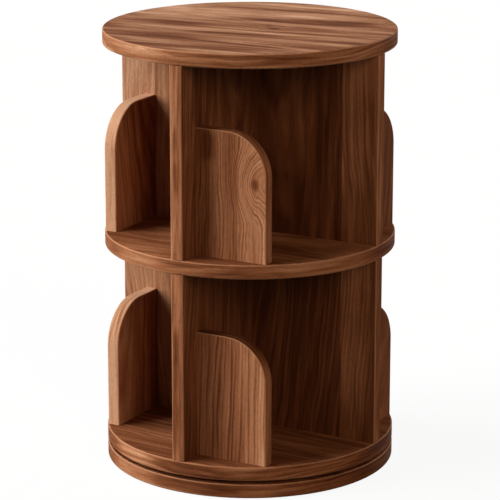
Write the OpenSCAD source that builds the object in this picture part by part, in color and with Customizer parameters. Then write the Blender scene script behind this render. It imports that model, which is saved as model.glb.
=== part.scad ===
// Revolving bookcase with two open tiers. A cross of upright panels divides each tier into four
// book spaces, each closed at one side by a low divider with a rounded corner. Everything above
// the base turns on a ball bearing ring. The front panel points along -Y, the right one along +X.

/* [Boards] */
// Diameter of the base, the two shelves and the top board
disc_d = 400; // [380:1:460]
// Thickness of the base, the two shelves and the top board
disc_t = 20; // [18:0.5:26]
// Clear height of each tier
tier_h = 260; // [230:1:330]
// Radius of the eased edges of the boards, panels and dividers
edge_r = 2; // [0.5:0.25:4]

/* [Panels] */
// Thickness of the upright panels
panel_t = 18; // [16:0.5:22]
// Distance from the rim of the boards in to the outer edge of a panel
panel_inset = 0.25; // [0.25:0.25:6]

/* [Dividers] */
// Thickness of a divider
divider_t = 18; // [14:0.5:22]
// Height of a divider above its shelf
divider_h = 173; // [140:1:200]
// Radius of a divider's rounded upper corner
divider_corner_r = 60; // [30:1:75]
// Distance from the outer edges of the panels in to the front face of a divider
divider_setback = 36; // [28:1:46]

/* [Turntable] */
// Height of the open gap between the base and the bottom shelf
gap_h = 4.5; // [3.5:0.1:8]
// Depth of the pockets that the bearing rings sit in
pocket_depth = 3; // [2.5:0.1:4]
// Room between a bearing ring and the wall of its pocket
pocket_room = 2; // [1:0.1:4]
// Diameter of the circle of balls
ball_circle_d = 218; // [200:1:230]
// Diameter of a ball
ball_d = 6; // [5:0.1:6.5]
// Number of balls
ball_count = 24; // [12:1:36]
// Running clearance between a ball and its races
ball_clearance = 0.1; // [0.05:0.01:0.2]
// Distance from the ball circle to the far edge of each ring
ring_w = 14; // [13:0.5:18]
// Height that each ring stays clear of the opposite pocket
ring_step = 1.5; // [1:0.1:2]
// Gap between the two rings, where the ball cage runs
race_gap = 2.4; // [2:0.1:3]
// Thickness of the ball cage
cage_t = 1.6; // [1.2:0.1:1.6]
// Height of the ball cage
cage_h = 8; // [7.5:0.1:8.5]
// Clearance between a ball and its hole in the cage
cage_clearance = 0.15; // [0.05:0.01:0.3]

/* [Pads] */
// Diameter of a pad
pad_d = 25; // [15:1:35]
// Thickness of a pad
pad_t = 1.5; // [1:0.1:4]
// Number of pads
pad_count = 8; // [3:1:12]
// Distance from the rim of the base in to the edge of a pad
pad_inset = 16; // [8:1:30]

/* [Dowels] */
// Diameter of a dowel
dowel_d = 8; // [6:0.5:8]
// Depth of a dowel in the edge of a board
dowel_bite = 18; // [14:0.5:22]
// Depth of a dowel in the face of a board
dowel_seat = 12; // [8:0.5:13]
// Clearance round a dowel
dowel_fit = 0.1; // [0.05:0.01:0.2]
// Glue space left at each end of a dowel
dowel_end_gap = 0.5; // [0.2:0.1:0.9]
// Distance from the ends of a divider to its dowels
divider_dowel_inset = 25; // [18:1:35]
// Distance from the top and bottom of a tier to the dowels across the middle
cross_dowel_inset = 40; // [30:1:60]

/* [Fixings] */
// Distance from the axis to the innermost fixings of a panel
inner_fixing_r = 60; // [50:1:70]
// Distance from the outer edge of a panel in to its outermost fixings
outer_fixing_inset = 25; // [18:1:25]
// Diameter of a long panel screw
panel_screw_d = 5; // [4:0.1:6]
// Depth of a long panel screw in its panel
panel_screw_bite = 30; // [20:1:40]
// Diameter of a ring screw
ring_screw_d = 4; // [3:0.1:4.5]
// Depth of a shelf ring screw in the bottom shelf
shelf_ring_bite = 11; // [8:0.5:12]
// Depth of a base ring screw in the base ring
base_ring_bite = 7; // [5:0.5:8]
// Number of screws that each ring has between two panels
ring_screws_per_quarter = 2; // [1:1:3]
// Diameter of a screw head, as a multiple of its shank
screw_head_ratio = 2; // [1.8:0.1:2.2]
// Clearance round screws, bolts and cam locks
fixing_fit = 0.1; // [0.05:0.01:0.2]
// Diameter of a cam lock
cam_d = 15; // [12:0.5:16]
// Distance that a cam lock runs past the middle of its panel
cam_reach = 4; // [3.5:0.1:5]
// Distance from the edge of a panel to the middle of a cam lock
cam_edge = 34; // [24:1:40]
// Diameter of a connecting bolt's shank and thread
bolt_d = 6; // [5:0.1:6.5]
// Diameter of a connecting bolt's head
bolt_head_d = 6.8; // [6:0.1:7]
// Diameter of the neck that a cam grips
bolt_neck_d = 4; // [3:0.1:4.5]
// Length of a connecting bolt's head
bolt_head_l = 3; // [2:0.1:4]
// Length of a connecting bolt's neck
bolt_neck_l = 3.5; // [2:0.1:4]
// Length of thread that holds in the top board
bolt_thread_l = 11; // [8:0.5:13]
// Width of the driver slots in a cam lock
slot_w = 1.6; // [1:0.1:2]
// Length of the driver slots in a cam lock
slot_l = 9; // [6:0.5:10]
// Depth of the driver slots in a cam lock
slot_depth = 2; // [1:0.1:2.2]

/* [Hidden] */
$fn = 96;
WALNUT = "#8f5c3d";
WALNUT_DARK = "#7a4a30";
BEECH = "#c9a26f";
STEEL = "#b9bbbd";
ZINC = "#9fa3a6";
ALUMINIUM = "#c7cacc";
NYLON = "#e8e6df";
FELT = "#3a332e";

// Directions in which the four wings of the cross run out from the axis
FRONT_ANGLE = -90;
RIGHT_ANGLE = 0;
BACK_ANGLE = 90;
LEFT_ANGLE = 180;
WING_ANGLES = [FRONT_ANGLE, RIGHT_ANGLE, BACK_ANGLE, LEFT_ANGLE];
QUARTERS = len(WING_ANGLES);
// Length that a cutting tool runs past the face it starts from
OVERCUT = 1;

base_z = pad_t;
base_top = base_z + disc_t;
bottom_shelf_z = base_top + gap_h;
lower_z = bottom_shelf_z + disc_t;
middle_shelf_z = lower_z + tier_h;
upper_z = middle_shelf_z + disc_t;
top_board_z = upper_z + tier_h;
TIERS = [lower_z, upper_z];

reach = disc_d / 2 - panel_inset;
outer_fixing_r = reach - outer_fixing_inset;
middle_fixing_r = (inner_fixing_r + outer_fixing_r) / 2;
END_FIXINGS = [inner_fixing_r, outer_fixing_r];

divider_front = reach - divider_setback;
divider_middle = divider_front - divider_t / 2;
divider_w = sqrt(reach * reach - divider_front * divider_front) - panel_t / 2;
DIVIDER_FOOT_DOWELS = [divider_dowel_inset, divider_w - divider_dowel_inset];
DIVIDER_END_DOWELS = [2 * divider_dowel_inset, divider_h - 2 * divider_dowel_inset];

ball_circle_r = ball_circle_d / 2;
ring_screw_count = QUARTERS * ring_screws_per_quarter;
ring_floor = base_top - pocket_depth;
ring_roof = bottom_shelf_z + pocket_depth;
ring_h = ring_roof - ring_floor - ring_step;
ball_z = (ring_floor + ring_roof) / 2;
base_ring_screw_r = ball_circle_r + (ball_d / 2 + ring_w) / 2;
shelf_ring_screw_r = ball_circle_r - (ball_d / 2 + ring_w) / 2;
base_ring_screw_l = ring_floor - base_z + base_ring_bite;
shelf_ring_screw_l = ring_h + shelf_ring_bite;
panel_screw_l = disc_t + panel_screw_bite;

cam_r = cam_d / 2;
cam_depth = panel_t / 2 + cam_reach;
bolt_reach = cam_edge + bolt_head_l / 2;
bolt_hole_r = max(bolt_d, bolt_head_d) / 2 + fixing_fit;

// Frames that place fixings and dividers

// Turns children so that their x axis runs out along a wing of the cross
module along_wing(wing) {
    rotate([0, 0, wing]) children();
}

// Face of a wing that its cam locks open on, along the wing's own y axis: the left face of the
// through panel and the back faces of the two half panels
function cam_side(wing) = wing == FRONT_ANGLE || wing == LEFT_ANGLE ? -1 : 1;

// Places children on a wing at each radius, with their z axis up from height z
module on_wings(wings, radii, z) {
    for (wing = wings, r = radii)
        along_wing(wing) translate([r, 0, z]) children();
}

// Places children at the middle of a panel's edge, with their z axis into the panel: up = 1 for
// a panel that stands on height z, -1 for one that ends there
module at_panel_edge(wing, z, up) {
    on_wings([wing], [middle_fixing_r], z)
        rotate([up > 0 ? 0 : 180, 0, 0]) children();
}

// Places children in the frame of a divider: x out from the panel's face, z up from the shelf
module at_divider(wing, z) {
    along_wing(wing) rotate([0, 0, 90])
        translate([panel_t / 2, -divider_middle, z]) children();
}

// Places children round a circle, starting half a step from the x axis
module round_circle(count, r, z) {
    for (i = [0 : count - 1])
        rotate([0, 0, 360 * (i + 0.5) / count]) translate([r, 0, z]) children();
}

// Boards

// Section of a board from x = 0 to its outer edge, with that edge eased on both faces
module eased_section(length, thickness) {
    translate([0, -thickness / 2]) square([length - edge_r, thickness]);
    translate([0, edge_r - thickness / 2]) square([length, thickness - 2 * edge_r]);
    for (side = [-1, 1])
        translate([length - edge_r, side * (thickness / 2 - edge_r)]) circle(edge_r);
}

// Round board that stands on height z
module disc(z) {
    translate([0, 0, z + disc_t / 2]) rotate_extrude() eased_section(disc_d / 2, disc_t);
}

// Half of an upright panel, from the distance start out to the panel's eased edge
module half_panel(wing, start, z) {
    along_wing(wing) translate([0, 0, z]) linear_extrude(tier_h)
        translate([start, 0]) eased_section(reach - start, panel_t);
}

// Divider in its own frame: a top stretch, an outer stretch and the rounded corner between them
module divider_blank() {
    top_length = divider_w - divider_corner_r;
    outer_length = divider_h - divider_corner_r;
    translate([top_length, 0, 0]) rotate([0, -90, 0])
        linear_extrude(top_length) eased_section(divider_h, divider_t);
    translate([top_length, 0, 0])
        linear_extrude(outer_length) eased_section(divider_corner_r, divider_t);
    translate([top_length, 0, outer_length]) rotate([90, 0, 0])
        rotate_extrude(angle = 90) eased_section(divider_corner_r, divider_t);
}

// Ring-shaped pocket for the bearing, from height z up
module ring_pocket(z) {
    translate([0, 0, z]) rotate_extrude()
        translate([ball_circle_r - ring_w - pocket_room, 0])
            square([2 * (ring_w + pocket_room), pocket_depth]);
}

// Fixings and the holes cut for them, which are the same shapes grown by a clearance

// Dowel between two heights, short of each by the glue space
module dowel(low, high) {
    translate([0, 0, low + dowel_end_gap])
        cylinder(h = high - low - 2 * dowel_end_gap, d = dowel_d);
}

// Hole for a dowel between two heights
module dowel_hole(low, high) {
    translate([0, 0, low]) cylinder(h = high - low, r = dowel_d / 2 + dowel_fit);
}

// Countersunk screw with its head flush at z = 0 and its tip up
module screw(d, length) {
    head_r = d * screw_head_ratio / 2;
    rotate_extrude() polygon([
        [0, 0], [head_r, 0], [d / 2, head_r - d / 2], [d / 2, length - d], [0, length]
    ]);
}

// Hole for a countersunk screw
module screw_hole(d, length) {
    head_r = d * screw_head_ratio / 2 + fixing_fit;
    shank_r = d / 2 + fixing_fit;
    rotate_extrude() polygon([
        [0, -OVERCUT], [head_r, -OVERCUT], [head_r, 0], [shank_r, head_r - shank_r],
        [shank_r, length - d + fixing_fit], [0, length + fixing_fit]
    ]);
}

// Outline of a connecting bolt's end from height start up to its head
function bolt_end(start) = [
    [bolt_d / 2, start],
    [bolt_d / 2, bolt_reach - bolt_head_l - bolt_neck_l],
    [bolt_neck_d / 2, bolt_reach - bolt_head_l - bolt_neck_l],
    [bolt_neck_d / 2, bolt_reach - bolt_head_l],
    [bolt_head_d / 2, bolt_reach - bolt_head_l],
    [bolt_head_d / 2, bolt_reach]
];

// Bolt in the frame of a panel's edge, with its thread below z = 0
module single_bolt() {
    rotate_extrude() polygon(concat(
        [[0, -bolt_thread_l]], bolt_end(-bolt_thread_l), [[0, bolt_reach]]));
}

// Bolt with a head at each end, whose middle is at z = 0
module double_bolt() {
    for (turn = [0, 180])
        rotate([turn, 0, 0]) rotate_extrude()
            polygon(concat([[0, 0]], [for (p = bolt_end(-disc_t / 2)) [p.x, p.y + disc_t / 2]],
                [[0, bolt_reach + disc_t / 2]]));
}

// Cylinder into a panel from the face that the cam lock opens on, in the frame of a panel's edge
module cam_cylinder(side, r, depth) {
    translate([0, side * panel_t / 2, cam_edge]) rotate([90 * side, 0, 0]) cylinder(h = depth, r = r);
}

// Cam lock with crossed driver slots and the hollow that takes the bolt's head
module cam_lock(side) {
    difference() {
        cam_cylinder(side, cam_r, cam_depth);
        cylinder(h = bolt_reach + fixing_fit, r = bolt_hole_r);
        for (turn = [45, 135])
            translate([0, side * panel_t / 2, cam_edge]) rotate([0, turn, 0])
                cube([slot_l, 2 * slot_depth, slot_w], center = true);
    }
}

// Holes in a panel for one cam lock and its bolt
module cam_holes(wing, z, up) {
    at_panel_edge(wing, z, up) {
        cam_cylinder(up * cam_side(wing), cam_r + fixing_fit, cam_depth + fixing_fit);
        cylinder(h = cam_edge, r = bolt_hole_r);
    }
}

// Rows of fixings, drawn as pieces or as the holes for them

// Heights of the dowels across the middle of a tier
function cross_heights(z) = [z + cross_dowel_inset, z + tier_h / 2, z + tier_h - cross_dowel_inset];

module cross_dowel_holes(z) {
    for (height = cross_heights(z))
        translate([0, 0, height]) rotate([0, 90, 0])
            dowel_hole(-panel_t / 2 - dowel_bite, panel_t / 2 + dowel_bite);
}

module divider_dowel_holes(wing, z) {
    at_divider(wing, z) {
        for (x = DIVIDER_FOOT_DOWELS) translate([x, 0, 0]) dowel_hole(-dowel_seat, dowel_bite);
        for (height = DIVIDER_END_DOWELS)
            translate([0, 0, height]) rotate([0, 90, 0]) dowel_hole(-dowel_seat, dowel_bite);
    }
}

module divider_dowels(z) {
    for (wing = WING_ANGLES) at_divider(wing, z) {
        for (x = DIVIDER_FOOT_DOWELS) translate([x, 0, 0]) dowel(-dowel_seat, dowel_bite);
        for (height = DIVIDER_END_DOWELS)
            translate([0, 0, height]) rotate([0, 90, 0]) dowel(-dowel_seat, dowel_bite);
    }
}

// Holes in the panels of a lower or an upper tier, on the wings given
module lower_panel_holes(wings) {
    on_wings(wings, END_FIXINGS, bottom_shelf_z) screw_hole(panel_screw_d, panel_screw_l);
    on_wings(wings, [middle_fixing_r], lower_z) dowel_hole(-dowel_seat, dowel_bite);
    on_wings(wings, END_FIXINGS, middle_shelf_z) dowel_hole(-dowel_bite, 0);
    for (wing = wings) {
        cam_holes(wing, middle_shelf_z, -1);
        divider_dowel_holes(wing, lower_z);
    }
    cross_dowel_holes(lower_z);
}

module upper_panel_holes(wings) {
    on_wings(wings, END_FIXINGS, upper_z) dowel_hole(0, dowel_bite);
    on_wings(wings, END_FIXINGS, top_board_z) dowel_hole(-dowel_bite, dowel_seat);
    for (wing = wings) {
        cam_holes(wing, upper_z, 1);
        cam_holes(wing, top_board_z, -1);
        divider_dowel_holes(wing, upper_z);
    }
    cross_dowel_holes(upper_z);
}

module lower_panel(wings, start) {
    color(WALNUT) difference() {
        for (wing = wings) half_panel(wing, start, lower_z);
        lower_panel_holes(wings);
    }
}

module upper_panel(wings, start) {
    color(WALNUT) difference() {
        for (wing = wings) half_panel(wing, start, upper_z);
        upper_panel_holes(wings);
    }
}

module divider(wing, z) {
    color(WALNUT_DARK) difference() {
        at_divider(wing, z) divider_blank();
        divider_dowel_holes(wing, z);
    }
}

// Base and turntable

module base_plate() {
    color(WALNUT) difference() {
        disc(base_z);
        ring_pocket(ring_floor);
        round_circle(ring_screw_count, base_ring_screw_r, base_z)
            screw_hole(ring_screw_d, base_ring_screw_l);
    }
}

module foot_pads() {
    color(FELT) round_circle(pad_count, disc_d / 2 - pad_inset - pad_d / 2, 0)
        cylinder(h = pad_t, d = pad_d);
}

// Bearing ring between two radii, from height z up, with its half of the ball race
module bearing_ring(inner_r, outer_r, z) {
    rotate_extrude() difference() {
        translate([inner_r, z]) square([outer_r - inner_r, ring_h]);
        translate([ball_circle_r, ball_z]) circle(ball_d / 2 + ball_clearance);
    }
}

module base_ring() {
    color(ALUMINIUM) difference() {
        bearing_ring(ball_circle_r + race_gap / 2, ball_circle_r + ring_w, ring_floor);
        round_circle(ring_screw_count, base_ring_screw_r, base_z)
            screw_hole(ring_screw_d, base_ring_screw_l);
    }
}

module base_ring_screws() {
    color(STEEL) round_circle(ring_screw_count, base_ring_screw_r, base_z)
        screw(ring_screw_d, base_ring_screw_l);
}

module ball_cage() {
    color(NYLON) difference() {
        translate([0, 0, ball_z - cage_h / 2]) rotate_extrude()
            translate([ball_circle_r - cage_t / 2, 0]) square([cage_t, cage_h]);
        round_circle(ball_count, ball_circle_r, ball_z) rotate([0, 90, 0])
            cylinder(h = 2 * cage_t, d = ball_d + 2 * cage_clearance, center = true);
    }
}

module bearing_balls() {
    color(STEEL) round_circle(ball_count, ball_circle_r, ball_z) sphere(d = ball_d);
}

module shelf_ring() {
    color(ALUMINIUM) difference() {
        bearing_ring(ball_circle_r - ring_w, ball_circle_r - race_gap / 2, ring_floor + ring_step);
        round_circle(ring_screw_count, shelf_ring_screw_r, ring_floor + ring_step)
            screw_hole(ring_screw_d, shelf_ring_screw_l);
    }
}

module shelf_ring_screws() {
    color(STEEL) round_circle(ring_screw_count, shelf_ring_screw_r, ring_floor + ring_step)
        screw(ring_screw_d, shelf_ring_screw_l);
}

// Shelves and top board

module bottom_shelf() {
    color(WALNUT) difference() {
        disc(bottom_shelf_z);
        ring_pocket(bottom_shelf_z);
        round_circle(ring_screw_count, shelf_ring_screw_r, ring_floor + ring_step)
            screw_hole(ring_screw_d, shelf_ring_screw_l);
        on_wings(WING_ANGLES, END_FIXINGS, bottom_shelf_z) screw_hole(panel_screw_d, panel_screw_l);
        on_wings(WING_ANGLES, [middle_fixing_r], lower_z) dowel_hole(-dowel_seat, dowel_bite);
        for (wing = WING_ANGLES) divider_dowel_holes(wing, lower_z);
    }
}

module middle_shelf() {
    color(WALNUT) difference() {
        disc(middle_shelf_z);
        on_wings(WING_ANGLES, END_FIXINGS, middle_shelf_z) dowel_hole(0, disc_t);
        on_wings(WING_ANGLES, [middle_fixing_r], middle_shelf_z)
            cylinder(h = disc_t, r = bolt_d / 2 + fixing_fit);
        for (wing = WING_ANGLES) divider_dowel_holes(wing, upper_z);
    }
}

module top_board() {
    color(WALNUT) difference() {
        disc(top_board_z);
        on_wings(WING_ANGLES, END_FIXINGS, top_board_z) dowel_hole(0, dowel_seat);
        on_wings(WING_ANGLES, [middle_fixing_r], top_board_z)
            cylinder(h = bolt_thread_l + fixing_fit, r = bolt_d / 2 + fixing_fit);
    }
}

// Panels and dividers

module lower_through_panel() { lower_panel([FRONT_ANGLE, BACK_ANGLE], 0); }
module lower_right_panel() { lower_panel([RIGHT_ANGLE], panel_t / 2); }
module lower_left_panel() { lower_panel([LEFT_ANGLE], panel_t / 2); }
module upper_through_panel() { upper_panel([FRONT_ANGLE, BACK_ANGLE], 0); }
module upper_right_panel() { upper_panel([RIGHT_ANGLE], panel_t / 2); }
module upper_left_panel() { upper_panel([LEFT_ANGLE], panel_t / 2); }

module lower_front_divider() { divider(FRONT_ANGLE, lower_z); }
module lower_right_divider() { divider(RIGHT_ANGLE, lower_z); }
module lower_back_divider() { divider(BACK_ANGLE, lower_z); }
module lower_left_divider() { divider(LEFT_ANGLE, lower_z); }
module upper_front_divider() { divider(FRONT_ANGLE, upper_z); }
module upper_right_divider() { divider(RIGHT_ANGLE, upper_z); }
module upper_back_divider() { divider(BACK_ANGLE, upper_z); }
module upper_left_divider() { divider(LEFT_ANGLE, upper_z); }

// Fixings

module panel_screws() {
    color(STEEL) on_wings(WING_ANGLES, END_FIXINGS, bottom_shelf_z) screw(panel_screw_d, panel_screw_l);
}

module top_bolts() {
    color(STEEL) for (wing = WING_ANGLES) at_panel_edge(wing, top_board_z, -1) single_bolt();
}

module shelf_bolts() {
    color(STEEL) on_wings(WING_ANGLES, [middle_fixing_r], middle_shelf_z + disc_t / 2) double_bolt();
}

module lower_cam_locks() {
    color(ZINC) for (wing = WING_ANGLES)
        at_panel_edge(wing, middle_shelf_z, -1) cam_lock(-cam_side(wing));
}

module upper_cam_locks() {
    color(ZINC) for (wing = WING_ANGLES) {
        at_panel_edge(wing, upper_z, 1) cam_lock(cam_side(wing));
        at_panel_edge(wing, top_board_z, -1) cam_lock(-cam_side(wing));
    }
}

module bottom_dowels() {
    color(BEECH) on_wings(WING_ANGLES, [middle_fixing_r], lower_z) dowel(-dowel_seat, dowel_bite);
}

module middle_dowels() {
    color(BEECH) on_wings(WING_ANGLES, END_FIXINGS, middle_shelf_z) dowel(-dowel_bite, disc_t + dowel_bite);
}

module top_dowels() {
    color(BEECH) on_wings(WING_ANGLES, END_FIXINGS, top_board_z) dowel(-dowel_bite, dowel_seat);
}

module cross_dowels() {
    color(BEECH) for (z = TIERS, height = cross_heights(z))
        translate([0, 0, height]) rotate([0, 90, 0])
            dowel(-panel_t / 2 - dowel_bite, panel_t / 2 + dowel_bite);
}

module lower_divider_dowels() { color(BEECH) divider_dowels(lower_z); }
module upper_divider_dowels() { color(BEECH) divider_dowels(upper_z); }

base_plate();
foot_pads();
base_ring();
base_ring_screws();
ball_cage();
bearing_balls();
shelf_ring();
shelf_ring_screws();
bottom_shelf();
middle_shelf();
top_board();
lower_through_panel();
lower_right_panel();
lower_left_panel();
upper_through_panel();
upper_right_panel();
upper_left_panel();
lower_front_divider();
lower_right_divider();
lower_back_divider();
lower_left_divider();
upper_front_divider();
upper_right_divider();
upper_back_divider();
upper_left_divider();
panel_screws();
top_bolts();
shelf_bolts();
lower_cam_locks();
upper_cam_locks();
bottom_dowels();
middle_dowels();
top_dowels();
cross_dowels();
lower_divider_dowels();
upper_divider_dowels();
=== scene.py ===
"""Looks of a revolving bookcase: walnut boards that turn on a ball bearing ring, in a plain studio.

Everything is in metres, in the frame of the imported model: +Z up along the turning axis, the front
panel of the cross along -Y and the right panel along +X.
"""

import logging
import math
from contextlib import contextmanager
from dataclasses import dataclass, field, replace
from enum import Enum
from itertools import product
from typing import Any, Callable, Iterator, Sequence

import bmesh
import bpy
from mathutils import Matrix, Vector


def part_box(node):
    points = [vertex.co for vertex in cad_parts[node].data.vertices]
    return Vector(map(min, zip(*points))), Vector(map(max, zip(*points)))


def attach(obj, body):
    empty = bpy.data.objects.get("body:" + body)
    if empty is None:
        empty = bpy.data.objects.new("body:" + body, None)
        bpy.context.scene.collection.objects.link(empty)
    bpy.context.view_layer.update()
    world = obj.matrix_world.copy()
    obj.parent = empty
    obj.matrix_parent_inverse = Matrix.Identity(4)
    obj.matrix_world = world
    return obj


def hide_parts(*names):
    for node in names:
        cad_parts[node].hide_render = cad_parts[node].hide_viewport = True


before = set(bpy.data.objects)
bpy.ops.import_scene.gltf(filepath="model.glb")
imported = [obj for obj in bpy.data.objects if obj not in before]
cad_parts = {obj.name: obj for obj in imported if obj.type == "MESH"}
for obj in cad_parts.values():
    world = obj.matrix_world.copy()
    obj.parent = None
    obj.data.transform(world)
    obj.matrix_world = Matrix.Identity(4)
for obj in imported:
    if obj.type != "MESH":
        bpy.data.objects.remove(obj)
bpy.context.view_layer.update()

log = logging.getLogger("bookcase")

TOUCHING = 1e-6
DECIMALS = 6
FACING = 0.99
METAL_CREASE = 35.0
ORIGIN = (0.0, 0.0, 0.0)
WHITE = (1.0, 1.0, 1.0)

Triple = tuple[float, float, float]
Box = tuple[Vector, Vector]
Place = tuple["Value", "Value", "Value"]
Stops = Sequence[tuple[float, Triple]]


class Axis(Enum):
    """Directions of the frame that all pieces share."""

    X = (1.0, 0.0, 0.0)
    Y = (0.0, 1.0, 0.0)
    Z = (0.0, 0.0, 1.0)


class Body(Enum):
    """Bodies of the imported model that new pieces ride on."""

    BASE = "base"
    CAROUSEL = "carousel"


class Value:
    """A number that varies over a surface: a socket that adds nodes when it is calculated with."""

    def __init__(self, graph: "Graph", socket: bpy.types.NodeSocket) -> None:
        """Wraps a socket of a graph."""
        self.graph = graph
        self.socket = socket

    def math(self, operation: str, *operands: "Value | float", clamp: bool = False) -> "Value":
        """Adds one Math node.

        Args:
            operation: Blender's name of the operation.
            operands: The node's inputs, in order.
            clamp: Whether the result stays from 0 to 1.

        Returns:
            The node's result.
        """
        settings = {"operation": operation, "use_clamp": clamp}
        made = self.graph.node("ShaderNodeMath", settings, dict(enumerate(operands)))
        return Value(self.graph, made.outputs[0])

    def __add__(self, other: "Value | float") -> "Value":
        """Returns self + other."""
        return self.math("ADD", self, other)

    def __radd__(self, other: float) -> "Value":
        """Returns other + self."""
        return self.math("ADD", other, self)

    def __sub__(self, other: "Value | float") -> "Value":
        """Returns self - other."""
        return self.math("SUBTRACT", self, other)

    def __rsub__(self, other: float) -> "Value":
        """Returns other - self."""
        return self.math("SUBTRACT", other, self)

    def __mul__(self, other: "Value | float") -> "Value":
        """Returns self * other."""
        return self.math("MULTIPLY", self, other)

    def __rmul__(self, other: float) -> "Value":
        """Returns other * self."""
        return self.math("MULTIPLY", other, self)

    def __truediv__(self, other: "Value | float") -> "Value":
        """Returns self / other."""
        return self.math("DIVIDE", self, other)

    def __abs__(self) -> "Value":
        """Returns the size without its sign."""
        return self.math("ABSOLUTE", self)

    def root(self) -> "Value":
        """Returns the square root."""
        return self.math("SQRT", self)

    def fraction(self) -> "Value":
        """Returns what is left after the whole number."""
        return self.math("FRACT", self)

    def whole(self) -> "Value":
        """Returns the whole number below."""
        return self.math("FLOOR", self)

    def at_least(self, other: "Value | float") -> "Value":
        """Returns the larger of the two."""
        return self.math("MAXIMUM", self, other)

    def at_most(self, other: "Value | float") -> "Value":
        """Returns the smaller of the two."""
        return self.math("MINIMUM", self, other)

    def clamped(self) -> "Value":
        """Returns the value held from 0 to 1."""
        return self.math("ADD", self, 0.0, clamp=True)

    def smooth(self, low: float, high: float) -> "Value":
        """Rises smoothly from 0 at one value to 1 at another.

        Args:
            low: Value at which the result is 0.
            high: Value at which the result is 1.

        Returns:
            The eased step.
        """
        inputs = {"Value": self, "From Min": low, "From Max": high}
        made = self.graph.node("ShaderNodeMapRange", {"interpolation_type": "SMOOTHSTEP"}, inputs)
        return Value(self.graph, made.outputs["Result"])


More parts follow.
